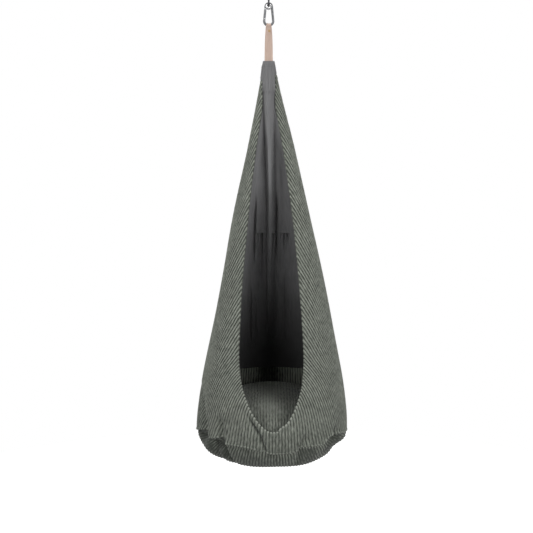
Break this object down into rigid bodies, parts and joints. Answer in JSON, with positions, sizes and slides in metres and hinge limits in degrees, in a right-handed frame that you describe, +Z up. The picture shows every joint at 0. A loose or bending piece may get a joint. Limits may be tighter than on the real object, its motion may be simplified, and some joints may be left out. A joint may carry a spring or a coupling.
{
  "type": "hanging swing chair",
  "caption": "Child's hanging pod swing: lined corduroy pod with a tall front opening and a filled seat cushion, hung by a webbing loop, snap hook and chain link from a ceiling plate.",
  "frame": {"origin": "centre of the ceiling plate's top face, which lies against the ceiling", "axes": "+Z up, square to the ceiling; +X to the right of someone who faces the opening; the opening faces -Y"},
  "size_m": [0.515, 0.5148, 1.5852],
  "materials": {
    "galvanised_steel": "zinc plated, dull grey with a fine grain",
    "bright_steel": "bright plated",
    "dark_steel": "dark oxide",
    "webbing": "woven cotton webbing, sand coloured",
    "corduroy": "wide-rib corduroy, olive grey",
    "lining": "smooth cotton, dark grey",
    "filling": "loose polyester fleece"
  },
  "bodies": {
    "ceiling": {"ceiling_plate": "galvanised_steel", "ceiling_bow": "galvanised_steel"},
    "link": {"chain_link": "dark_steel"},
    "hook": {"carabiner_body": "galvanised_steel", "carabiner_eye": "bright_steel", "gate_hinge_pin": "bright_steel"},
    "gate": {"carabiner_gate": "galvanised_steel", "gate_latch_pin": "bright_steel", "spring_plunger": "bright_steel", "gate_spring": "dark_steel"},
    "strap": {"webbing_loop": "webbing"},
    "pod": {"crown_collar": "lining", "outer_panel": "corduroy", "bottom_panel": "corduroy", "lining_upper": "lining", "lining_lower": "lining", "inner_band": "corduroy", "floor_lining": "lining", "cushion_top": "corduroy", "cushion_bottom": "corduroy", "cushion_filling": "filling"}
  },
  "joints": [
    {"name": "link_swing", "type": "hinge", "parent": "ceiling", "child": "link", "pos_m": [0, 0, -0.027], "axis": [1, 0, 0], "range_deg": [-45, 45]},
    {"name": "hook_swing", "type": "hinge", "parent": "link", "child": "hook", "pos_m": [0, 0, -0.0677], "axis": [0, 1, 0], "range_deg": [-45, 45]},
    {"name": "gate_hinge", "type": "hinge", "parent": "hook", "child": "gate", "pos_m": [-0.01127, 0, -0.07684], "axis": [0, -1, 0], "range_deg": [0, 28], "stiffness_Nm_per_rad": 0.3, "springref_deg": -17.19},
    {"name": "pod_swing", "type": "hinge", "parent": "hook", "child": "strap", "pos_m": [0, 0, -0.1309], "axis": [1, 0, 0], "range_deg": [-20, 20], "deforming": ["webbing_loop"]},
    {"name": "pod_twist", "type": "hinge", "parent": "strap", "child": "pod", "pos_m": [0, 0, -0.21], "axis": [0, 0, 1], "range_deg": [-90, 90], "stiffness_Nm_per_rad": 0.1, "deforming": ["webbing_loop"]}
  ]
}
